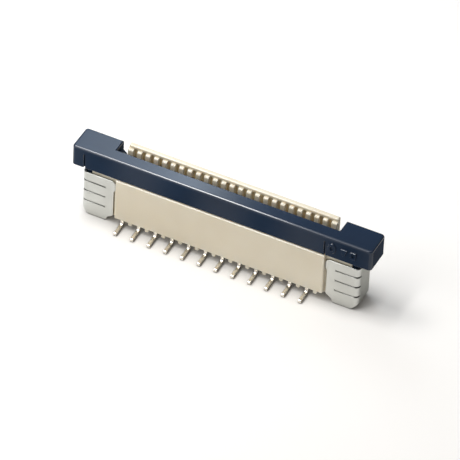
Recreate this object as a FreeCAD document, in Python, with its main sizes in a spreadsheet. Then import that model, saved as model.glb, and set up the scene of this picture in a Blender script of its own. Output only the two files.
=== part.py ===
"""Upright connector for a flat flexible cable, with a pull-up slider that locks the cable.

Millimetres. X runs along the row of contacts, -Y is the side with the first row of tails, +Z is up.
The origin lies on the board, at the middle of the connector. The slider is shown pushed down.
"""

import FreeCAD, Part
import os
import Sketcher

# Driving dimensions. Lengths along X that end in past_row are counted from the end of the contact row,
# which is half a pitch outside the last contact. Heights are counted from the board.
SIZES = [
    ("contact_count", 24, "contacts in the row"),
    ("contact_pitch", 0.50, "distance from one contact to the next"),
    ("contact_thickness", 0.20, "thickness of the sheet that the contacts are cut from"),
    ("contact_gap", 0.015, "room on each side of a contact in its slot"),
    ("tail_reach", 1.70, "centre line to the tip of a tail"),
    ("tail_height", 0.20, "height of a tail's foot on the board"),
    ("stub_reach", 0.84, "centre line to the outer face of a tail's upright stub"),
    ("stub_width", 0.20, "width of the upright stub"),
    ("heel_radius", 0.26, "outer bend at the foot's heel"),
    ("instep_radius", 0.12, "inner bend between stub and foot"),
    ("toe_chamfer", 0.06, "chamfer on top of a foot's tip"),
    ("bar_bottom", 0.55, "underside of a contact's base bar"),
    ("bar_height", 0.30, "height of the base bar"),
    ("post_width", 0.20, "width of a contact's short retention post"),
    ("post_rise", 0.40, "height of the post above the base bar"),
    ("beam_root", 0.24, "width of the spring beam at its root"),
    ("beam_end", 0.14, "width of the spring beam at its top"),
    ("beam_back", 0.70, "back of the spring beam"),
    ("beam_top", 3.75, "top of the spring beam"),
    ("bump_height", 3.00, "height of the contact point"),
    ("bump_reach", 0.22, "place in Y of the contact point, undeflected"),
    ("bump_half_height", 0.40, "half the height over which the beam swells to the contact point"),
    ("beam_room", 0.08, "room behind the spring beam"),
    ("wall_past_row", 0.19, "end of the front and rear walls"),
    ("cavity_past_row", 0.32, "end of the cable cavity"),
    ("notch_past_row", 0.59, "end of the slider's open notch"),
    ("block_step_past_row", 1.70, "outer face of an end block above its step"),
    ("block_past_row", 2.10, "outer face of an end block below its step"),
    ("slider_past_row", 2.86, "end of the slider"),
    ("core_half_depth", 0.92, "centre line to the outer face of the front and rear walls"),
    ("front_wall", 0.37, "thickness of the front wall"),
    ("rail_depth", 0.29, "thickness of the rail on top of the rear wall"),
    ("rib_depth", 0.18, "distance by which the ribs stand out from the rail"),
    ("block_half_depth", 0.68, "centre line to the front of an end block"),
    ("housing_bottom", 0.50, "underside of the walls"),
    ("floor_thickness", 0.50, "thickness of the floor between the walls"),
    ("front_wall_top", 3.15, "top of the front wall"),
    ("rib_top", 4.36, "top of the ribs"),
    ("rail_rise", 0.17, "height of the rail above the ribs"),
    ("block_bottom", 0.45, "underside of the end blocks"),
    ("block_top", 3.10, "top of the end blocks"),
    ("block_step_height", 1.50, "height of the step that leaves room for a slider leg"),
    ("pip_width", 0.23, "width of the pips under the walls"),
    ("pip_draft", 0.06, "distance by which each side of a pip leans in"),
    ("pip_drop", 0.22, "distance by which a pip stands below the wall"),
    ("pip_depth", 0.11, "depth of a pip"),
    ("pip_inset", 0.03, "distance of a pip behind the wall's outer face"),
    ("wall_radius", 0.08, "rounding of the walls' outer edges"),
    ("rib_chamfer", 0.07, "chamfer along the top of the ribs"),
    ("slider_half_depth", 0.85, "centre line to the front of the slider"),
    ("slider_height", 1.31, "height of the slider's bar"),
    ("slider_seat_gap", 0.04, "room between the closed slider and the front wall"),
    ("cable_slot", 0.46, "opening for the cable, from the slider's bar to the ribs"),
    ("shoulder_rise", 0.84, "height of the cable guides beside the notch, at the blocks"),
    ("shoulder_drop", 0.20, "fall of the guides' tops towards the cable"),
    ("tongue_gap", 0.05, "room between the tongue and the front wall"),
    ("tongue_side_gap", 0.10, "room between the tongue's ends and the cavity"),
    ("tongue_tip", 1.50, "height of the tongue's tip"),
    ("tongue_tip_width", 0.20, "thickness of the tongue's tip"),
    ("tongue_taper_top", 2.35, "height where the tongue's taper begins"),
    ("leg_gap", 0.03, "room on the inner and outer side of a slider leg"),
    ("leg_side_gap", 0.05, "room in front of and behind a slider leg"),
    ("leg_end_gap", 0.12, "room under a slider leg"),
    ("latch_depth", 0.10, "distance by which a leg's latch stands out"),
    ("latch_height", 0.20, "height of the latch"),
    ("latch_half_width", 0.30, "half the width of the latch"),
    ("latch_room", 0.04, "room round the latch in its groove"),
    ("stroke", 1.00, "travel of the slider from closed to open"),
    ("left_groove_inset", 0.76, "middle of the left groove in the slider's front, from the slider's end"),
    ("right_groove_inset", 2.72, "middle of the right groove, from the slider's end"),
    ("groove_drop", 0.37, "top of the two grooves, below the slider's top"),
    ("groove_width", 0.08, "width of a groove"),
    ("groove_depth", 0.10, "depth of a groove"),
    ("slider_corner_radius", 0.20, "rounding of the slider's upright corners"),
    ("slider_edge_radius", 0.13, "rounding of the slider's top edges"),
    ("tab_thickness", 0.12, "sheet of the solder tabs"),
    ("tab_bend", 0.28, "outer radius of the tabs' bends"),
    ("tab_top", 2.90, "top of the solder tabs"),
    ("tab_ear_past_row", 0.21, "inner edge of a tab's ear"),
    ("tab_neck_past_row", 0.32, "inner edge of a tab below its ear"),
    ("tab_foot_past_row", 0.76, "inner edge of a tab at the board"),
    ("tab_ear_bottom", 2.36, "height where the ear's edge begins to slant back to the neck"),
    ("tab_ear_slant", 0.20, "height of that slant"),
    ("tab_ear_radius", 0.25, "rounding of the ear's top corner"),
    ("tab_step_top", 0.50, "height where a tab's inner edge turns outwards"),
    ("tab_step_bottom", 0.27, "height where it turns down again"),
    ("tab_step_slant", 0.10, "slant of the inner edge below the step"),
    ("tab_side_bottom", 0.42, "underside of a tab's side"),
    ("tab_corner", 0.40, "width of the slanted outer corner at the foot"),
    ("tab_edge_radius", 0.12, "rounding of the corners in a tab's outline"),
    ("tab_groove_past_row", 0.83, "inner end of the pressed grooves"),
    ("tab_groove_count", 3, "grooves on a tab"),
    ("tab_groove_bottom", 0.89, "height of the lowest groove"),
    ("tab_groove_spacing", 0.695, "distance from one groove to the next"),
    ("tab_groove_width", 0.08, "width of a groove"),
    ("tab_groove_depth", 0.05, "depth of a groove"),
]
TINY = 1e-4

document = FreeCAD.newDocument("connector")
sheet = document.addObject("Spreadsheet::Sheet", "sizes")
for row, (alias, number, meaning) in enumerate(SIZES, start=1):
    sheet.set(f"A{row}", alias)
    sheet.set(f"B{row}", str(number))
    sheet.set(f"C{row}", meaning)
    sheet.setAlias(f"B{row}", alias)
document.recompute()

# Places that follow from the driving dimensions.
half_row = "(sizes.contact_count * sizes.contact_pitch / 2)"
wall_end = f"({half_row} + sizes.wall_past_row)"
cavity_end = f"({half_row} + sizes.cavity_past_row)"
notch_end = f"({half_row} + sizes.notch_past_row)"
block_step = f"({half_row} + sizes.block_step_past_row)"
block_end = f"({half_row} + sizes.block_past_row)"
slider_end = f"({half_row} + sizes.slider_past_row)"
tab_end = f"({block_end} + sizes.tab_thickness)"
inner_bend = "(sizes.tab_bend - sizes.tab_thickness)"
front_inside = "(sizes.front_wall - sizes.core_half_depth)"
rail_front = "(sizes.core_half_depth - sizes.rail_depth)"
rib_front = f"({rail_front} - sizes.rib_depth)"
bar_back = f"({rib_front} - sizes.cable_slot)"
rail_top = "(sizes.rib_top + sizes.rail_rise)"
floor_top = "(sizes.housing_bottom + sizes.floor_thickness)"
bar_top = "(sizes.bar_bottom + sizes.bar_height)"
post_front = f"({front_inside} + sizes.tongue_gap)"
slot_width = "(sizes.contact_thickness + 2 * sizes.contact_gap)"
slot_back = "(sizes.beam_back + sizes.beam_room)"
slider_bottom = "(sizes.front_wall_top + sizes.slider_seat_gap)"
slider_top = f"({slider_bottom} + sizes.slider_height)"
leg_inner = f"({block_step} + sizes.leg_gap)"
leg_outer = f"({block_end} - sizes.leg_gap)"
leg_bottom = "(sizes.block_step_height + sizes.leg_end_gap)"
leg_half_depth = "(sizes.block_half_depth - sizes.leg_side_gap)"
latch_top = f"({leg_bottom} + sizes.latch_height)"
first_contact = "((1 - sizes.contact_count) * sizes.contact_pitch / 2)"


def value_of(expression):
    """Number that an expression of the sheet's cells stands for."""
    return float(sheet.evalExpression(expression))


def new_body(name):
    """Empty body whose label is the name of the sub-part."""
    body = document.addObject("PartDesign::Body", name)
    body.Label = name
    return body


def origin_feature(body, role):
    """Plane or axis of a body's own origin."""
    return next(item for item in body.Origin.OriginFeatures if item.Role == role)


def place_sketch(body, name, plane, offset):
    """Empty sketch on an origin plane, moved along the plane's normal by an expression."""
    sketch = body.newObject("Sketcher::SketchObject", name)
    sketch.AttachmentSupport = (origin_feature(body, plane), [""])
    sketch.MapMode = "FlatFace"
    sketch.setExpression("AttachmentOffset.Base.z", offset)
    return sketch


def bind_coordinate(sketch, kind, line, expression):
    """Tie one coordinate of a line's start, DistanceX or DistanceY, to an expression."""
    constraint = Sketcher.Constraint(kind, -1, 1, line, 1, value_of(expression))
    index = sketch.addConstraint(constraint)
    sketch.setExpression(f"Constraints[{index}]", expression)


def draw_loop(sketch, corners):
    """Closed loop of straight lines through corners given as pairs of expressions."""
    points = [FreeCAD.Vector(value_of(across), value_of(up), 0) for across, up in corners]
    first = sketch.GeometryCount
    count = len(points)
    for index, point in enumerate(points):
        sketch.addGeometry(Part.LineSegment(point, points[(index + 1) % count]))
    for index in range(count):
        following = first + (index + 1) % count
        sketch.addConstraint(Sketcher.Constraint("Coincident", first + index, 2, following, 1))
    for index, (across, up) in enumerate(corners):
        bind_coordinate(sketch, "DistanceX", first + index, across)
        bind_coordinate(sketch, "DistanceY", first + index, up)


def rectangle(left, bottom, right, top):
    """Corners of a rectangle."""
    return [(left, bottom), (right, bottom), (right, top), (left, top)]


def mirrored(corners):
    """Corners on the other side of the sketch's upright axis."""
    return [(f"-({across})", up) for across, up in reversed(corners)]


def outline(body, name, plane, loops, offset="0"):
    """Sketch of closed straight-sided loops."""
    sketch = place_sketch(body, name, plane, offset)
    for corners in loops:
        draw_loop(sketch, corners)
    return sketch


def extrude(body, kind, sketch, length, both_ways=False, backwards=False):
    """Pad or pocket of a sketch by an expression, on both sides of the sketch if asked."""
    feature = body.newObject(f"PartDesign::{kind}", f"{sketch.Name}_{kind.lower()}")
    feature.Profile = sketch
    feature.SideType = "Symmetric" if both_ways else "One side"
    feature.Reversed = backwards
    feature.setExpression("Length", length)
    return feature


def repeat(body, feature, axis, spacing, count):
    """Row of copies of one feature along an axis of the body."""
    pattern = body.newObject("PartDesign::LinearPattern", f"{feature.Name}_row")
    pattern.Originals = [feature]
    pattern.Direction = (origin_feature(body, axis), [""])
    pattern.Mode = "Spacing"
    pattern.setExpression("Offset", spacing)
    pattern.setExpression("Occurrences", count)
    body.Tip = pattern
    return pattern


def edges_where(feature, test):
    """Names of the edges of a feature whose two ends and middle all pass a test."""
    names = []
    for number, edge in enumerate(feature.Shape.Edges, start=1):
        points = [vertex.Point for vertex in edge.Vertexes]
        points.append(edge.valueAt((edge.FirstParameter + edge.LastParameter) / 2))
        if len(points) > 2 and all(test(point) for point in points):
            names.append(f"Edge{number}")
    return names


def treat_edges(body, kind, name, size_name, size, test):
    """Fillet or chamfer the edges of the body's last feature that pass a test."""
    base = body.Tip
    base.recompute(True)
    edges = edges_where(base, test)
    if not edges:
        raise ValueError(f"{name} finds no edge")
    feature = body.newObject(f"PartDesign::{kind}", name)
    feature.Base = (base, edges)
    feature.setExpression(size_name, size)
    body.Tip = feature


def round_edges(body, name, radius, test):
    """Fillet the edges that pass a test."""
    treat_edges(body, "Fillet", name, "Radius", radius, test)


def bevel_edges(body, name, width, test):
    """Chamfer the edges that pass a test."""
    treat_edges(body, "Chamfer", name, "Size", width, test)


def near(number, expression):
    """Whether a coordinate lies at the place that an expression gives."""
    return abs(number - value_of(expression)) < TINY


def make_housing():
    """Cream moulding: walls and floor, comb, end blocks, contact slots and pips."""
    body = new_body("housing")
    section = outline(body, "section", "YZ_Plane", [[
        ("-sizes.core_half_depth", "sizes.housing_bottom"),
        ("sizes.core_half_depth", "sizes.housing_bottom"),
        ("sizes.core_half_depth", rail_top),
        (rail_front, rail_top),
        (rail_front, "sizes.rib_top"),
        (rib_front, "sizes.rib_top"),
        (rib_front, floor_top),
        (front_inside, floor_top),
        (front_inside, "sizes.front_wall_top"),
        ("-sizes.core_half_depth", "sizes.front_wall_top"),
    ]])
    extrude(body, "Pad", section, f"2 * {wall_end}", both_ways=True)
    bevel_edges(body, "rib_chamfer", "sizes.rib_chamfer",
                lambda p: near(p.y, rib_front) and near(p.z, "sizes.rib_top"))
    add_end_blocks(body)
    round_walls(body)
    cut_cable_cavity(body)
    cut_latch_grooves(body)
    cut_comb(body)
    cut_floor_slots(body)
    add_pips(body)
    return body


def add_end_blocks(body):
    """Block at each end, stepped back above so that a slider leg can run beside it."""
    right = [
        (wall_end, "sizes.block_bottom"),
        (block_end, "sizes.block_bottom"),
        (block_end, "sizes.block_step_height"),
        (block_step, "sizes.block_step_height"),
        (block_step, "sizes.block_top"),
        (wall_end, "sizes.block_top"),
    ]
    blocks = outline(body, "blocks", "XZ_Plane", [right, mirrored(right)])
    extrude(body, "Pad", blocks, "2 * sizes.block_half_depth", both_ways=True)


def round_walls(body):
    """Soft outer edges of the front wall and the rail, and block corners that fill the tabs' bends."""
    round_edges(body, "front_rounding", "sizes.wall_radius",
                lambda p: near(p.y, "-sizes.core_half_depth") and (
                    near(p.z, "sizes.front_wall_top") or near(abs(p.x), wall_end)))

    def on_rail(p):
        outside = near(p.z, rail_top) or near(abs(p.x), wall_end)
        return outside and p.z > value_of("sizes.rib_top") - TINY and p.y > value_of(rail_front) - TINY

    round_edges(body, "rail_rounding", "sizes.wall_radius", on_rail)
    round_edges(body, "block_rounding", inner_bend,
                lambda p: near(abs(p.x), block_end) and near(abs(p.y), "sizes.block_half_depth"))


def cut_cable_cavity(body):
    """Well between the walls that takes the cable and the slider's tongue."""
    well = outline(body, "well", "XY_Plane",
                   [rectangle(f"-{cavity_end}", front_inside, cavity_end, rib_front)], floor_top)
    extrude(body, "Pocket", well, rail_top, backwards=True)


def cut_latch_grooves(body):
    """Groove in each block's outer face that a slider leg's latch runs in and cannot leave."""
    right = rectangle(f"({block_step} - sizes.latch_depth + sizes.leg_gap - sizes.latch_room)",
                      "sizes.block_step_height", block_step,
                      f"({latch_top} + sizes.stroke + sizes.latch_room)")
    grooves = outline(body, "latch_grooves", "XZ_Plane", [right, mirrored(right)])
    extrude(body, "Pocket", grooves, "2 * (sizes.latch_half_width + sizes.latch_room)", both_ways=True)


def cut_comb(body):
    """Slot for each contact's beam, open between the ribs and closed above by the rail."""
    left, right = f"{first_contact} - {slot_width} / 2", f"{first_contact} + {slot_width} / 2"
    sketch = outline(body, "comb_slot", "XZ_Plane",
                     [rectangle(left, "sizes.housing_bottom", right, "sizes.rib_top")], f"-{rib_front}")
    slot = extrude(body, "Pocket", sketch, f"{slot_back} - {rib_front}")
    repeat(body, slot, "X_Axis", "sizes.contact_pitch", "sizes.contact_count")


def cut_floor_slots(body):
    """Slots in the underside that hold the base bars, and openings for the retention posts."""
    half = f"({slot_width} / 2)"
    second_contact = f"({first_contact} + sizes.contact_pitch)"
    bars = [
        ("front_bar_slot", first_contact, "-sizes.stub_reach", slot_back),
        ("rear_bar_slot", second_contact, post_front, "sizes.stub_reach"),
    ]
    for name, middle, front, back in bars:
        corners = rectangle(f"{middle} - {half}", front, f"{middle} + {half}", back)
        sketch = outline(body, name, "XY_Plane", [corners], "sizes.housing_bottom")
        slot = extrude(body, "Pocket", sketch, f"{bar_top} - sizes.housing_bottom", backwards=True)
        repeat(body, slot, "X_Axis", "2 * sizes.contact_pitch", "sizes.contact_count / 2")
    corners = rectangle(f"{first_contact} - {half}", f"{post_front} - sizes.contact_gap",
                        f"{first_contact} + {half}", f"{post_front} + sizes.post_width + sizes.contact_gap")
    sketch = outline(body, "post_opening", "XY_Plane", [corners], bar_top)
    opening = extrude(body, "Pocket", sketch, f"{floor_top} - {bar_top}", backwards=True)
    repeat(body, opening, "X_Axis", "sizes.contact_pitch", "sizes.contact_count")


def add_pips(body):
    """Small tapered pips under each wall, between that wall's tails."""
    half = "(sizes.pip_width / 2)"
    second_contact = f"({first_contact} + sizes.contact_pitch)"
    outer = "(sizes.core_half_depth - sizes.pip_inset)"
    foot = "(sizes.housing_bottom - sizes.pip_drop)"
    shoulder = f"({foot} + sizes.pip_draft)"
    for name, middle, side in (("front_pip", second_contact, "-"), ("rear_pip", first_contact, "")):
        sketch = outline(body, name, "XZ_Plane", [[
            (f"({middle} - {half})", "sizes.housing_bottom"),
            (f"({middle} - {half})", shoulder),
            (f"({middle} - {half} + sizes.pip_draft)", foot),
            (f"({middle} + {half} - sizes.pip_draft)", foot),
            (f"({middle} + {half})", shoulder),
            (f"({middle} + {half})", "sizes.housing_bottom"),
        ]], f"-({side}{outer})")
        pip = extrude(body, "Pad", sketch, "sizes.pip_depth", backwards=side == "-")
        repeat(body, pip, "X_Axis", "2 * sizes.contact_pitch", "sizes.contact_count / 2")


def make_slider():
    """Navy moulding: bar with end blocks, cable guides, wedge tongue, legs with latches, front grooves."""
    body = new_body("slider")
    front, back = "-sizes.slider_half_depth", "sizes.slider_half_depth"
    plan = outline(body, "plan", "XY_Plane", [[
        (f"-{slider_end}", front),
        (slider_end, front),
        (slider_end, back),
        (notch_end, back),
        (notch_end, bar_back),
        (f"-{notch_end}", bar_back),
        (f"-{notch_end}", back),
        (f"-{slider_end}", back),
    ]], slider_bottom)
    extrude(body, "Pad", plan, "sizes.slider_height")
    round_slider(body)
    add_cable_guides(body)
    add_tongue(body)
    add_legs(body)
    cut_front_grooves(body)
    return body


def round_slider(body):
    """Upright corners first, then the top edges, which run round them."""
    round_edges(body, "slider_corners", "sizes.slider_corner_radius",
                lambda p: near(abs(p.x), slider_end) and near(abs(p.y), "sizes.slider_half_depth"))
    round_edges(body, "slider_top", "sizes.slider_edge_radius", lambda p: near(p.z, slider_top))


def add_cable_guides(body):
    """Sloped shoulder inside each block that leads the cable's edge into the cavity."""
    right = [
        (cavity_end, slider_bottom),
        (notch_end, slider_bottom),
        (notch_end, f"{slider_bottom} + sizes.shoulder_rise"),
        (cavity_end, f"{slider_bottom} + sizes.shoulder_rise - sizes.shoulder_drop"),
    ]
    guides = outline(body, "cable_guides", "XZ_Plane", [right, mirrored(right)], f"-{bar_back}")
    extrude(body, "Pad", guides, f"sizes.slider_half_depth - sizes.slider_edge_radius - {bar_back}",
            backwards=True)


def add_tongue(body):
    """Wedge that goes down between the front wall and the cable."""
    tongue_front = f"({front_inside} + sizes.tongue_gap)"
    section = outline(body, "tongue", "YZ_Plane", [[
        (tongue_front, "sizes.tongue_tip"),
        (f"{tongue_front} + sizes.tongue_tip_width", "sizes.tongue_tip"),
        (bar_back, "sizes.tongue_taper_top"),
        (bar_back, slider_bottom),
        (tongue_front, slider_bottom),
    ]])
    extrude(body, "Pad", section, f"2 * ({cavity_end} - sizes.tongue_side_gap)", both_ways=True)


def add_legs(body):
    """Leg at each end that runs between the end block and the solder tab, and its inward latch."""
    leg = rectangle(leg_inner, leg_bottom, leg_outer, slider_bottom)
    legs = outline(body, "legs", "XZ_Plane", [leg, mirrored(leg)])
    extrude(body, "Pad", legs, f"2 * {leg_half_depth}", both_ways=True)
    round_edges(body, "leg_rounding", inner_bend,
                lambda p: near(abs(p.x), leg_outer) and near(abs(p.y), leg_half_depth))
    latch = [
        (leg_inner, leg_bottom),
        (leg_inner, latch_top),
        (f"{leg_inner} - sizes.latch_depth", latch_top),
        (f"{leg_inner} - sizes.latch_depth", f"{latch_top} - sizes.latch_height / 3"),
    ]
    latches = outline(body, "latches", "XZ_Plane", [latch, mirrored(latch)])
    extrude(body, "Pad", latches, "2 * sizes.latch_half_width", both_ways=True)


def cut_front_grooves(body):
    """Two upright grooves in the bar's front, one near each end, open at the bottom."""
    half = "(sizes.groove_width / 2)"
    top = f"({slider_top} - sizes.groove_drop)"
    middles = [f"(sizes.left_groove_inset - {slider_end})", f"({slider_end} - sizes.right_groove_inset)"]
    grooves = outline(body, "front_grooves", "XZ_Plane", [
        rectangle(f"{middle} - {half}", slider_bottom, f"{middle} + {half}", top) for middle in middles
    ], "sizes.slider_half_depth")
    extrude(body, "Pocket", grooves, "sizes.groove_depth")


def contact_profile(tail_side):
    """Corners, in Y and Z, of a contact whose tail goes to one side: -1 is front and 1 is rear."""
    beam_foot = "(sizes.beam_back - sizes.beam_root)"
    beam_head = "(sizes.beam_back - sizes.beam_end)"
    beam = [
        ("sizes.beam_back", bar_top),
        ("sizes.beam_back", "sizes.beam_top"),
        (beam_head, "sizes.beam_top"),
        (beam_head, "sizes.bump_height + sizes.bump_half_height"),
        ("sizes.bump_reach", "sizes.bump_height + sizes.beam_end / 2"),
        ("sizes.bump_reach", "sizes.bump_height - sizes.beam_end / 2"),
        (beam_foot, "sizes.bump_height - 2 * sizes.bump_half_height"),
        (beam_foot, bar_top),
    ]
    post_back = f"({post_front} + sizes.post_width)"
    post_top = f"({bar_top} + sizes.post_rise)"
    post = [(post_back, bar_top), (post_back, post_top), (post_front, post_top)]
    stub_inside = "(sizes.stub_reach - sizes.stub_width)"
    if tail_side < 0:
        tail = [
            (post_front, bar_top),
            ("-sizes.stub_reach", bar_top),
            ("-sizes.stub_reach", "sizes.tail_height"),
            ("-sizes.tail_reach", "sizes.tail_height"),
            ("-sizes.tail_reach", "0"),
            (f"-{stub_inside}", "0"),
            (f"-{stub_inside}", "sizes.bar_bottom"),
        ]
        return beam + post + tail + [("sizes.beam_back", "sizes.bar_bottom")]
    tail = [
        (stub_inside, "sizes.bar_bottom"),
        (stub_inside, "0"),
        ("sizes.tail_reach", "0"),
        ("sizes.tail_reach", "sizes.tail_height"),
        ("sizes.stub_reach", "sizes.tail_height"),
        ("sizes.stub_reach", bar_top),
    ]
    return beam + post + [(post_front, "sizes.bar_bottom")] + tail


def make_contact(name, place, tail_side):
    """Contact cut from sheet: base bar, spring beam with its contact point, post and bent tail."""
    body = new_body(name)
    body.setExpression("Placement.Base.x", f"{first_contact} + {place} * sizes.contact_pitch")
    profile = outline(body, "profile", "YZ_Plane", [contact_profile(tail_side)])
    extrude(body, "Pad", profile, "sizes.contact_thickness", both_ways=True)
    stub_inside = "(sizes.stub_reach - sizes.stub_width)"
    round_edges(body, "heel", "sizes.heel_radius",
                lambda p: near(p.z, "0") and near(abs(p.y), stub_inside))
    round_edges(body, "instep", "sizes.instep_radius",
                lambda p: near(p.z, "sizes.tail_height") and near(abs(p.y), "sizes.stub_reach"))
    bevel_edges(body, "toe", "sizes.toe_chamfer",
                lambda p: near(abs(p.y), "sizes.tail_reach") and near(p.z, "sizes.tail_height"))
    return body


def make_solder_tab(name, side):
    """Folded clip round an end block, alike at front and back: -1 is the left end and 1 the right."""
    body = new_body(name)
    depth = "(sizes.block_half_depth + sizes.tab_thickness)"
    ear = f"({half_row} + sizes.tab_ear_past_row)"

    def on_side(corners):
        return corners if side > 0 else mirrored(corners)

    clip = [
        (ear, f"-{depth}"),
        (tab_end, f"-{depth}"),
        (tab_end, depth),
        (ear, depth),
        (ear, "sizes.block_half_depth"),
        (block_end, "sizes.block_half_depth"),
        (block_end, "-sizes.block_half_depth"),
        (ear, "-sizes.block_half_depth"),
    ]
    plan = outline(body, "plan", "XY_Plane", [on_side(clip)])
    extrude(body, "Pad", plan, "sizes.tab_top")
    round_edges(body, "outer_bend", "sizes.tab_bend",
                lambda p: near(abs(p.x), tab_end) and near(abs(p.y), depth))
    round_edges(body, "inner_bend", inner_bend,
                lambda p: near(abs(p.x), block_end) and near(abs(p.y), "sizes.block_half_depth"))
    shape_tab_outline(body, on_side, ear)
    press_tab_grooves(body, on_side, depth)
    return body


def shape_tab_outline(body, on_side, ear):
    """Cut both panels to their outline: ear at the top, neck, step at the foot, slanted outer corner."""
    neck = f"({half_row} + sizes.tab_neck_past_row)"
    foot = f"({half_row} + sizes.tab_foot_past_row)"
    step = f"({foot} - sizes.tab_step_slant)"
    clear_of_ear = f"({ear} - sizes.tab_thickness)"
    clear_of_side = f"({tab_end} + sizes.tab_thickness)"
    below = "-sizes.tab_thickness"
    slant_foot = "(sizes.tab_ear_bottom - sizes.tab_ear_slant)"
    inner_waste = [
        (clear_of_ear, below),
        (foot, below),
        (foot, "0"),
        (step, "sizes.tab_step_bottom"),
        (neck, "sizes.tab_step_top"),
        (neck, slant_foot),
        (ear, "sizes.tab_ear_bottom"),
        (clear_of_ear, "sizes.tab_ear_bottom"),
    ]
    corner = f"({tab_end} - sizes.tab_corner)"
    outer_waste = [
        (corner, below),
        (clear_of_side, below),
        (clear_of_side, "sizes.tab_side_bottom"),
        (tab_end, "sizes.tab_side_bottom"),
        (corner, "0"),
    ]
    waste = outline(body, "waste", "XZ_Plane", [on_side(inner_waste), on_side(outer_waste)])
    extrude(body, "Pocket", waste, "2 * (sizes.block_half_depth + 2 * sizes.tab_thickness)", both_ways=True)
    round_edges(body, "ear_rounding", "sizes.tab_ear_radius",
                lambda p: near(abs(p.x), ear) and near(p.z, "sizes.tab_top"))
    turns = [(corner, "0"), (foot, "0"), (step, "sizes.tab_step_bottom"), (neck, "sizes.tab_step_top"),
             (neck, slant_foot), (ear, "sizes.tab_ear_bottom")]
    round_edges(body, "outline_rounding", "sizes.tab_edge_radius",
                lambda p: any(near(abs(p.x), across) and near(p.z, up) for across, up in turns))


def press_tab_grooves(body, on_side, depth):
    """Level grooves across the front and back panels that run round the bends to the side."""
    inner = f"({half_row} + sizes.tab_groove_past_row)"
    deep_side = f"({tab_end} - sizes.tab_groove_depth)"
    deep_front = f"({depth} - sizes.tab_groove_depth)"
    clear_side = f"({tab_end} + sizes.tab_groove_depth)"
    clear_front = f"({depth} + sizes.tab_groove_depth)"
    bend_start = f"({tab_end} - sizes.tab_bend)"
    bend_stop = f"({depth} - sizes.tab_bend)"
    halfway = "((sizes.tab_bend - sizes.tab_groove_depth) * cos(45))"
    back = [
        (inner, deep_front),
        (bend_start, deep_front),
        (f"{bend_start} + {halfway}", f"{bend_stop} + {halfway}"),
        (deep_side, bend_stop),
        (clear_side, bend_stop),
        (clear_side, clear_front),
        (inner, clear_front),
    ]
    front = [(across, f"-({along})") for across, along in reversed(back)]
    grooves = outline(body, "grooves", "XY_Plane", [on_side(back), on_side(front)],
                      "sizes.tab_groove_bottom")
    groove = extrude(body, "Pocket", grooves, "sizes.tab_groove_width", backwards=True)
    repeat(body, groove, "Z_Axis", "sizes.tab_groove_spacing", "sizes.tab_groove_count")


def make_connector():
    """All the sub-parts, in the order in which the connector is put together."""
    parts = [make_housing(), make_slider()]
    contacts_per_side = int(value_of("sizes.contact_count / 2"))
    for number in range(contacts_per_side):
        parts.append(make_contact(f"contact_front_{number + 1:02d}", 2 * number, -1))
    for number in range(contacts_per_side):
        parts.append(make_contact(f"contact_rear_{number + 1:02d}", 2 * number + 1, 1))
    parts.append(make_solder_tab("solder_tab_left", -1))
    parts.append(make_solder_tab("solder_tab_right", 1))
    return parts


def check_document(parts):
    """Stop if any object failed or any sub-part is not one valid solid."""
    failed = [item.Name for item in document.Objects if {"Invalid", "Error"} & set(item.State)]
    if failed:
        raise RuntimeError(f"failed: {', '.join(failed)}")
    for part in parts:
        shape = part.Shape
        if shape.isNull() or not shape.isValid() or len(shape.Solids) != 1:
            raise RuntimeError(f"{part.Label} is not one valid solid")


def write_parts(parts):
    """One STEP file for each sub-part, named after its label."""
    os.makedirs("parts", exist_ok=True)
    for part in parts:
        part.Shape.exportStep(os.path.join("parts", f"{part.Label}.step"))


connector = make_connector()
document.recompute()
check_document(connector)
write_parts(connector)
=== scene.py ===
"""Looks of an upright connector for a flat flexible cable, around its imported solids.

Metres, in the frame of the solids. X runs along the row of contacts, -Y is the front, +Z is up.
"""

import math

import bmesh
import bpy
from mathutils import Matrix, Vector


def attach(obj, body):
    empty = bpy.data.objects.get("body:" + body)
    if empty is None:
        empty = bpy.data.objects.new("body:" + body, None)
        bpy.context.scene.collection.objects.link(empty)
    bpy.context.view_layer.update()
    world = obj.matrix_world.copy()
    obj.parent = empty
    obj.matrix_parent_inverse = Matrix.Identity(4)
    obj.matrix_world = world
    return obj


MM = 0.001

# Camera, fitted to the photograph: angles in degrees, lengths in millimetres.
CAMERA_AZIMUTH = 24.343
CAMERA_ELEVATION = 42.012
CAMERA_ROLL = 3.081
CAMERA_DISTANCE = 321.52
TARGET_HEIGHT = 2.13
AIM_RIGHT = 0.2031
AIM_UP = -0.3923
PIXELS_PER_MM = 18.8055
FRAME_PIXELS = 460
SENSOR_WIDTH = 36.0

# Colours from 0 to 255: the two that each material drifts between, and the painted shade in the metals'
# grooves.
IVORY = ((228, 217, 194), (238, 229, 209))
NAVY = ((25, 41, 62), (31, 49, 72))
CONTACT_TIN = ((230, 225, 214), (244, 239, 229))
TAB_TIN = ((194, 195, 190), (214, 215, 210))
GROOVE_SHADE = (70, 68, 62)

# Tints of the metals' reflections: everywhere, and a dark one as painted shade on the walls that look along
# X.
CLEAR = (1, 1, 1, 1)
SHADED_SIDE_TINT = (0.12, 0.11, 0.10, 1)

PLASTIC_IOR = 1.50

# Reach of the painted shade in the metals' grooves, in millimetres, and how sharply it fades.
GROOVE_REACH = 0.12
GROOVE_FADE = 1.6

# How squarely a face looks along an axis, from 0 to 1: where it starts to be a wall and where it is one.
WALL_START = 0.75
WALL_FULL = 0.95

# The same for rounded edges: up to where a face is all edge, and from where on it is flat.
EDGE_FULL = 0.97
EDGE_END = 0.995

# Share of their polish that upright edges keep, and how squarely a face looks up or down, from 0 to 1, where
# its edge starts to be level and where it is.
UPRIGHT_POLISH = 0.40
LEVEL_START = 0.10
LEVEL_FULL = 0.30

# Edges that turn more than the first angle are creases. Faces that turn less than the second are one flat.
SHARP_ANGLE = math.radians(35)
FLAT_ANGLE = math.radians(0.5)

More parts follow.
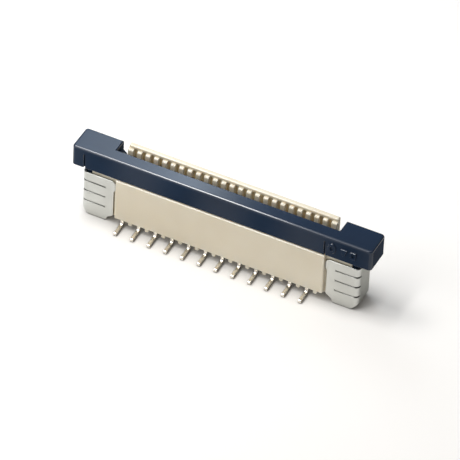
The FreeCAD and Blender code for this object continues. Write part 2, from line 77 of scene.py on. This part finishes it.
# Rounding of convex edges, in millimetres, its steps, and how close two points are welded.
HOUSING_ROUNDING = 0.025
SLIDER_ROUNDING = 0.040
CONTACT_ROUNDING = 0.040
TAB_ROUNDING = 0.035
MARK_ROUNDING = 0.020
ROUNDING_STEPS = 3
WELD_REACH = 0.001

# Raised marks on the slider's front, in millimetres: where they rise from and their face. The draft is the
# share by which their foot is larger than their face.
MARK_ROOT = -0.84
MARK_FACE = -0.93
MARK_DRAFT = 0.10
OVAL_POINTS = 24

# Floor for the light that bounces off it, and its reach in millimetres from the middle.
FLOOR_PLAIN = (0.86, 0.845, 0.82, 1)
FLOOR_REACH = 300

# Floor as the camera and reflections see it: its colour, its colour in painted shadow close under things,
# how close that is in millimetres, and its glow.
FLOOR_SEEN = (0.98, 0.958, 0.930, 1)
FLOOR_SHADED = (0.36, 0.345, 0.325, 1)
PAINTED_SHADOW_REACH = 1.2
FLOOR_GLOW = 0.035

# Colour of the two small lamps behind the slider, and of the light from all around.
COOL = (0.78, 0.89, 1.0)
WARM = (1, 0.98, 0.95, 1)


def linear(red, green, blue):
    """Linear colour of an sRGB one, given from 0 to 255."""
    def channel(value):
        value /= 255
        return value / 12.92 if value <= 0.04045 else ((value + 0.055) / 1.055) ** 2.4
    return (channel(red), channel(green), channel(blue), 1.0)


class Nodes:
    """A new node material with its shader at hand."""

    def __init__(self, name):
        self.material = bpy.data.materials.new(name)
        self.material.use_nodes = True
        self.tree = self.material.node_tree
        self.shader = self.tree.nodes["Principled BSDF"]
        self.output = self.tree.nodes["Material Output"]

    def add(self, kind, **settings):
        """Node of a kind with its properties set; a dict called values sets its inputs."""
        values = settings.pop("values", {})
        node = self.tree.nodes.new(kind)
        for name, setting in settings.items():
            setattr(node, name, setting)
        for name, value in values.items():
            node.inputs[name].default_value = value
        return node

    def feed(self, source, target):
        """Link an output to an input, or set the input to a plain value."""
        if isinstance(source, bpy.types.NodeSocket):
            self.tree.links.new(source, target)
        else:
            target.default_value = source

    def shade(self, values):
        """Feed the shader's inputs, given by name."""
        for name, value in values.items():
            self.feed(value, self.shader.inputs[name])

    def position(self):
        """Place on the object, in metres, that stays with it when it moves."""
        return self.add("ShaderNodeTexCoord").outputs["Object"]

    def noise(self, scale, detail=2.0, roughness=0.5, stretch=(1, 1, 1)):
        """Fractal noise with the given number of cells in a metre, times the stretch along each axis."""
        mapping = self.add("ShaderNodeMapping", values={"Scale": stretch})
        self.feed(self.position(), mapping.inputs["Vector"])
        noise = self.add("ShaderNodeTexNoise",
                         values={"Scale": scale, "Detail": detail, "Roughness": roughness})
        self.feed(mapping.outputs["Vector"], noise.inputs["Vector"])
        return noise.outputs["Fac"]

    def bands(self, spacing, phase):
        """Soft uneven bands across X, with their spacing in metres."""
        wave = self.add("ShaderNodeTexWave", bands_direction="X", values={
            "Scale": math.pi / (10 * spacing), "Distortion": 0.8, "Detail": 1.0,
            "Detail Scale": 0.6, "Phase Offset": phase})
        self.feed(self.position(), wave.inputs["Vector"])
        return wave.outputs["Fac"]

    def clouds(self, scale, margin, colours):
        """Colour that drifts between two, reached where a noise comes within the margin of 0 and of 1."""
        ramp = self.add("ShaderNodeValToRGB")
        for element, place, colour in zip(ramp.color_ramp.elements, (margin, 1 - margin), colours):
            element.position = place
            element.color = linear(*colour)
        self.feed(self.noise(scale), ramp.inputs["Fac"])
        return ramp.outputs["Color"]

    def spread(self, factor, low=0.0, high=1.0, start=0.0, end=1.0):
        """Value that runs from low to high as the factor goes from start to end."""
        node = self.add("ShaderNodeMapRange", values={
            "From Min": start, "From Max": end, "To Min": low, "To Max": high})
        self.feed(factor, node.inputs["Value"])
        return node.outputs["Result"]

    def combine(self, operation, first, second, **settings):
        """Outcome of a Math node's operation on two outputs or numbers."""
        node = self.add("ShaderNodeMath", operation=operation, **settings)
        self.feed(first, node.inputs[0])
        self.feed(second, node.inputs[1])
        return node.outputs["Value"]

    def blend(self, factor, low, high):
        """Value that runs from low to high, each a number or an output, as the factor goes from 0 to 1."""
        mix = self.add("ShaderNodeMix")
        self.feed(factor, mix.inputs["Factor"])
        self.feed(low, mix.inputs["A"])
        self.feed(high, mix.inputs["B"])
        return mix.outputs["Result"]

    def blend_colours(self, factor, low, high):
        """Colour that runs from low to high, each a colour or an output, as the factor goes from 0 to 1."""
        mix = self.add("ShaderNodeMix", data_type="RGBA")
        self.feed(factor, mix.inputs["Factor"])
        # A Mix node's sockets for colours come after those for numbers and vectors.
        self.feed(low, mix.inputs[6])
        self.feed(high, mix.inputs[7])
        return mix.outputs[2]

    def facing(self):
        """How squarely a face looks along X, Y and Z, each from 0 to 1."""
        sizes = self.add("ShaderNodeVectorMath", operation="ABSOLUTE")
        self.feed(self.add("ShaderNodeNewGeometry").outputs["Normal"], sizes.inputs[0])
        axes = self.add("ShaderNodeSeparateXYZ")
        self.feed(sizes.outputs["Vector"], axes.inputs["Vector"])
        return axes.outputs

    def walls(self, axis):
        """1 on the faces that look along an axis, 0 on the others."""
        return self.spread(self.facing()[axis], start=WALL_START, end=WALL_FULL)

    def rounded_edges(self):
        """1 on rounded edges and 0 on flat faces, which look along an axis."""
        facing = self.facing()
        largest = facing["X"]
        for axis in ("Y", "Z"):
            largest = self.combine("MAXIMUM", largest, facing[axis])
        return self.spread(largest, start=EDGE_END, end=EDGE_FULL)

    def level_edges(self):
        """1 on rounded edges that lie level, less on upright ones, and 0 on flat faces."""
        polish = self.spread(self.facing()["Z"], UPRIGHT_POLISH, 1.0, LEVEL_START, LEVEL_FULL)
        return self.combine("MULTIPLY", polish, self.rounded_edges())

    def painted_groove_shade(self, colour):
        """Colour with painted shade in narrow grooves and seams, where ambient occlusion finds them."""
        shade = self.add("ShaderNodeAmbientOcclusion", samples=8, values={"Distance": GROOVE_REACH * MM})
        open_share = self.combine("POWER", shade.outputs["AO"], GROOVE_FADE)
        return self.blend_colours(open_share, linear(*GROOVE_SHADE), colour)

    def bump(self, height, depth, strength):
        """Bump of the given depth in metres."""
        node = self.add("ShaderNodeBump", values={"Distance": depth, "Strength": strength})
        self.feed(height, node.inputs["Height"])
        self.feed(node.outputs["Normal"], self.shader.inputs["Normal"])


def housing_plastic():
    """Warm ivory moulding: fine matte grain, faint clouding, smoother edges and a soft glow through it."""
    nodes = Nodes("housing_plastic")
    grain = nodes.noise(22000, detail=4.0, roughness=0.6)
    edges = nodes.rounded_edges()
    # Painted shade: the walls that look along X hardly reflect.
    gloss = nodes.blend(nodes.walls("X"), 0.50, 0.02)
    nodes.shade({
        "Base Color": nodes.clouds(260, 0.30, IVORY),
        "Roughness": nodes.blend(edges, nodes.spread(grain, 0.42, 0.60), 0.20),
        "Specular IOR Level": nodes.blend(edges, gloss, 0.90),
        "IOR": PLASTIC_IOR,
        "Subsurface Weight": 0.60,
        "Subsurface Radius": (0.92, 0.85, 0.74),
        "Subsurface Scale": 0.00025,
    })
    nodes.bump(grain, depth=0.000002, strength=0.5)
    return nodes.material


def slider_plastic():
    """Navy moulding: satin skin with faint flow bands, end walls that hardly reflect as painted shade, and
    edges polished by handling.
    """
    nodes = Nodes("slider_plastic")
    grain = nodes.noise(18000, detail=3.0, roughness=0.55)
    edges = nodes.level_edges()
    gloss = nodes.spread(nodes.bands(spacing=0.00495, phase=math.pi), 0.04, 0.19)
    gloss = nodes.blend(nodes.walls("Z"), gloss, 0.36)
    # Painted shade: the walls that look along X hardly reflect.
    gloss = nodes.blend(nodes.walls("X"), gloss, 0.004)
    nodes.shade({
        "Base Color": nodes.clouds(300, 0.30, NAVY),
        "Roughness": nodes.blend(edges, nodes.spread(grain, 0.18, 0.28), 0.08),
        "Specular IOR Level": nodes.blend(edges, gloss, 0.80),
        "IOR": PLASTIC_IOR,
    })
    nodes.bump(grain, depth=0.0000015, strength=0.4)
    return nodes.material


def plated_metal(name, colours, roughness, brush):
    """Tin-plated sheet with faint rolling marks, drawn out along the axes where brush is under 1; painted
    shade darkens its grooves and its walls along X.
    """
    nodes = Nodes(name)
    marks = nodes.noise(9000, detail=4.0, roughness=0.6, stretch=brush)
    nodes.shade({
        # Painted shade: the base colour darkens in grooves and seams.
        "Base Color": nodes.painted_groove_shade(nodes.clouds(500, 0.25, colours)),
        "Roughness": nodes.blend(nodes.rounded_edges(), nodes.spread(marks, *roughness), 0.30),
        "Metallic": 1.0,
        # Painted shade: darker reflections on the walls that look along X.
        "Specular Tint": nodes.blend_colours(nodes.walls("X"), CLEAR, SHADED_SIDE_TINT),
    })
    nodes.bump(marks, depth=0.0000004, strength=0.3)
    return nodes.material


def paint(node, material):
    """Give a solid one material."""
    node.data.materials.clear()
    node.data.materials.append(material)


def convex_marker():
    """Node group that makes faces smooth up to an angle and gives convex edges a bevel weight."""
    group = bpy.data.node_groups.new("convex_edges", "GeometryNodeTree")
    group.interface.new_socket("Geometry", in_out="INPUT", socket_type="NodeSocketGeometry")
    group.interface.new_socket("Geometry", in_out="OUTPUT", socket_type="NodeSocketGeometry")

    def add(kind, **settings):
        node = group.nodes.new(kind)
        for name, setting in settings.items():
            setattr(node, name, setting)
        return node

    angle = add("GeometryNodeInputMeshEdgeAngle")
    crease = add("FunctionNodeCompare", data_type="FLOAT", operation="LESS_EQUAL")
    crease.inputs["B"].default_value = SHARP_ANGLE
    convex = add("FunctionNodeCompare", data_type="FLOAT", operation="GREATER_THAN")
    convex.inputs["B"].default_value = SHARP_ANGLE
    faces = add("GeometryNodeSetShadeSmooth", domain="FACE")
    edges = add("GeometryNodeSetShadeSmooth", domain="EDGE")
    weights = add("GeometryNodeStoreNamedAttribute", domain="EDGE", data_type="FLOAT")
    weights.inputs["Name"].default_value = "bevel_weight_edge"
    start = add("NodeGroupInput")
    end = add("NodeGroupOutput")
    for source, target in (
        (angle.outputs["Unsigned Angle"], crease.inputs["A"]),
        (angle.outputs["Signed Angle"], convex.inputs["A"]),
        (start.outputs["Geometry"], faces.inputs["Geometry"]),
        (faces.outputs["Geometry"], edges.inputs["Geometry"]),
        (crease.outputs["Result"], edges.inputs["Shade Smooth"]),
        (edges.outputs["Geometry"], weights.inputs["Geometry"]),
        (convex.outputs["Result"], weights.inputs["Value"]),
        (weights.outputs["Geometry"], end.inputs["Geometry"]),
    ):
        group.links.new(source, target)
    return group


def soften(node, rounding):
    """Round a solid's convex edges, by a width in millimetres, without changing its own mesh."""
    weld = node.modifiers.new("weld", "WELD")
    weld.merge_threshold = WELD_REACH * MM
    flatten = node.modifiers.new("flatten", "DECIMATE")
    flatten.decimate_type = "DISSOLVE"
    flatten.angle_limit = FLAT_ANGLE
    marker = node.modifiers.new("marker", "NODES")
    marker.node_group = convex_edges
    bevel = node.modifiers.new("bevel", "BEVEL")
    bevel.width = rounding * MM
    bevel.segments = ROUNDING_STEPS
    bevel.limit_method = "WEIGHT"
    bevel.harden_normals = True
    bevel.use_clamp_overlap = False
    level = node.modifiers.new("level", "WEIGHTED_NORMAL")
    level.keep_sharp = True


def oval(width, height):
    """Points of an oval round the origin."""
    turns = [2 * math.pi * step / OVAL_POINTS for step in range(OVAL_POINTS)]
    return [(width / 2 * math.cos(turn), height / 2 * math.sin(turn)) for turn in turns]


def rectangle(width, height):
    """Corners of a rectangle round the origin."""
    return [(x * width / 2, y * height / 2) for x, y in ((-1, -1), (1, -1), (1, 1), (-1, 1))]


def raised_mark(name, place, outer, inner=()):
    """Low relief on the slider's front: an outline with drafted sides, and a hollow if one is given.

    The place and the outlines' points are pairs of X and Z in millimetres.
    """
    mesh = bmesh.new()

    def ring(points, size, depth):
        return [mesh.verts.new(((place[0] + x * size) * MM, depth * MM, (place[1] + z * size) * MM))
                for x, z in points]

    def wall(low, high):
        for here, after in zip(range(len(low)), [*range(1, len(low)), 0]):
            mesh.faces.new((low[here], low[after], high[after], high[here]))

    foot = ring(outer, 1 + MARK_DRAFT, MARK_ROOT)
    crest = ring(outer, 1, MARK_FACE)
    wall(foot, crest)
    if inner:
        inner_crest = ring(inner, 1, MARK_FACE)
        inner_foot = ring(inner, 1 - MARK_DRAFT, MARK_ROOT)
        wall(crest, inner_crest)
        wall(inner_crest, inner_foot)
    else:
        mesh.faces.new(crest)
    bmesh.ops.recalc_face_normals(mesh, faces=mesh.faces)
    data = bpy.data.meshes.new(name)
    mesh.to_mesh(data)
    mesh.free()
    mark = bpy.data.objects.new(name, data)
    bpy.context.scene.collection.objects.link(mark)
    paint(mark, slider_material)
    soften(mark, MARK_ROUNDING)
    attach(mark, "slider")


def add_floor():
    """Pale floor that keeps the shadow and has painted shadow close under things; the camera and reflections
    see it whiter than it bounces light.
    """
    nodes = Nodes("floor")
    nodes.shade({"Base Color": FLOOR_PLAIN, "Roughness": 0.9, "Specular IOR Level": 0.1})
    # Painted shadow: ambient occlusion darkens the floor close under things.
    contact = nodes.add("ShaderNodeAmbientOcclusion", samples=16, values={"Distance": PAINTED_SHADOW_REACH * MM})
    seen = nodes.add("ShaderNodeBsdfDiffuse")
    nodes.feed(nodes.blend_colours(contact.outputs["AO"], FLOOR_SHADED, FLOOR_SEEN), seen.inputs["Color"])
    glow = nodes.add("ShaderNodeEmission", values={"Strength": FLOOR_GLOW})
    bright = nodes.add("ShaderNodeAddShader")
    nodes.feed(seen.outputs["BSDF"], bright.inputs[0])
    nodes.feed(glow.outputs["Emission"], bright.inputs[1])
    path = nodes.add("ShaderNodeLightPath")
    direct = path.outputs["Is Camera Ray"]
    for ray in ("Is Glossy Ray", "Is Transmission Ray"):
        direct = nodes.combine("ADD", direct, path.outputs[ray], use_clamp=True)
    mix = nodes.add("ShaderNodeMixShader")
    nodes.feed(direct, mix.inputs["Fac"])
    nodes.feed(nodes.shader.outputs["BSDF"], mix.inputs[1])
    nodes.feed(bright.outputs["Shader"], mix.inputs[2])
    nodes.feed(mix.outputs["Shader"], nodes.output.inputs["Surface"])
    mesh = bpy.data.meshes.new("floor")
    corners = rectangle(2 * FLOOR_REACH * MM, 2 * FLOOR_REACH * MM)
    mesh.from_pydata([(x, y, 0) for x, y in corners], [], [(0, 1, 2, 3)])
    mesh.materials.append(nodes.material)
    floor = bpy.data.objects.new("floor", mesh)
    bpy.context.scene.collection.objects.link(floor)


def add_softbox(name, place, aim, width, height, power, colour=(1, 1, 1)):
    """Rectangular lamp at a place, turned to a point; lengths in millimetres, its width square to Y."""
    back = (Vector(place) - Vector(aim)).normalized()
    right = Vector((0, 1, 0)).cross(back).normalized()
    turn = Matrix((right, back.cross(right), back)).transposed().to_4x4()
    lamp = bpy.data.lights.new(name, "AREA")
    lamp.shape = "RECTANGLE"
    lamp.size = width * MM
    lamp.size_y = height * MM
    lamp.energy = power
    lamp.color = colour
    holder = bpy.data.objects.new(name, lamp)
    holder.matrix_world = Matrix.Translation(Vector(place) * MM) @ turn
    holder.visible_camera = False
    bpy.context.scene.collection.objects.link(holder)


def light_world(strength):
    """Even dim light from all around."""
    world = bpy.data.worlds.new("studio")
    world.use_nodes = True
    background = world.node_tree.nodes["Background"]
    background.inputs["Color"].default_value = WARM
    background.inputs["Strength"].default_value = strength
    bpy.context.scene.world = world


def add_camera():
    """Camera at the photograph's angle, distance and framing."""
    azimuth = math.radians(CAMERA_AZIMUTH)
    elevation = math.radians(CAMERA_ELEVATION)
    roll = math.radians(CAMERA_ROLL)
    back = Vector((math.sin(azimuth) * math.cos(elevation),
                   -math.cos(azimuth) * math.cos(elevation), math.sin(elevation)))
    level = Vector((math.cos(azimuth), math.sin(azimuth), 0))
    upright = back.cross(level)
    right = math.cos(roll) * level + math.sin(roll) * upright
    up = math.cos(roll) * upright - math.sin(roll) * level
    target = Vector((0, 0, TARGET_HEIGHT))
    place = target + CAMERA_DISTANCE * back + AIM_RIGHT * right + AIM_UP * up
    camera = bpy.data.cameras.new("camera")
    camera.sensor_width = SENSOR_WIDTH
    camera.lens = PIXELS_PER_MM * CAMERA_DISTANCE * SENSOR_WIDTH / FRAME_PIXELS
    camera.clip_start = 0.01
    camera.clip_end = 10.0
    holder = bpy.data.objects.new("camera", camera)
    turn = Matrix((right, up, back)).transposed().to_4x4()
    holder.matrix_world = Matrix.Translation(place * MM) @ turn
    bpy.context.scene.collection.objects.link(holder)
    bpy.context.scene.camera = holder


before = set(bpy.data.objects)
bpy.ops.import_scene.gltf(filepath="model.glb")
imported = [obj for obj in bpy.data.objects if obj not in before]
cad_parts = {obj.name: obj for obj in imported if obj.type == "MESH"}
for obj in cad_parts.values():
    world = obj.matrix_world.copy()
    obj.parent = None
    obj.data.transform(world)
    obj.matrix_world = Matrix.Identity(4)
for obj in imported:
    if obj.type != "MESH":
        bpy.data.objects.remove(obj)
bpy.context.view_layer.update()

housing_material = housing_plastic()
slider_material = slider_plastic()
contact_material = plated_metal("contact_metal", CONTACT_TIN, roughness=(0.22, 0.30), brush=(1, 1, 0.2))
tab_material = plated_metal("tab_metal", TAB_TIN, roughness=(0.36, 0.50), brush=(0.15, 0.15, 1))

# Material and rounding of each solid, by the start of its name.
finishes = {
    "housing": (housing_material, HOUSING_ROUNDING),
    "slider": (slider_material, SLIDER_ROUNDING),
    "contact": (contact_material, CONTACT_ROUNDING),
    "solder_tab": (tab_material, TAB_ROUNDING),
}
convex_edges = convex_marker()
for name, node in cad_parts.items():
    material, rounding = next(finish for start, finish in finishes.items() if name.startswith(start))
    paint(node, material)
    soften(node, rounding)

# Places and outlines of the raised marks, in millimetres.
raised_mark("mould_ring", (6.56, 3.85), oval(0.46, 0.62), oval(0.20, 0.34))
raised_mark("mould_wedge", (7.26, 3.85), [(-0.19, 0.20), (0.19, 0.20), (0.06, -0.24), (-0.06, -0.24)])
raised_mark("mould_square", (7.80, 3.84), rectangle(0.32, 0.44), rectangle(0.16, 0.26))

add_floor()
light_world(strength=0.15)
add_softbox("top", place=(-25, 14, 130), aim=(0, 0, 0), width=150, height=150, power=0.050)
add_softbox("strip", place=(-191, -108, 565), aim=(0, 0, 4), width=62, height=400, power=1.22)
add_softbox("side", place=(-70, -5, 120), aim=(0, 0, 0), width=40, height=40, power=0.050)
add_softbox("fill", place=(-50, -100, 105), aim=(0, 0, 2), width=90, height=70, power=0.046)
add_softbox("edge", place=(-13, -14.2, 18), aim=(-6, -0.8, 4.5), width=9, height=8, power=0.00032)
add_softbox("glow", place=(-13.5, 17, 21), aim=(-5, 0, 4), width=9, height=12, power=0.00125, colour=COOL)
add_softbox("streak", place=(-9.4, 17, 21), aim=(-2, 0, 4), width=3, height=12, power=0.00055, colour=COOL)
add_camera()
bpy.context.scene.view_settings.view_transform = "Standard"
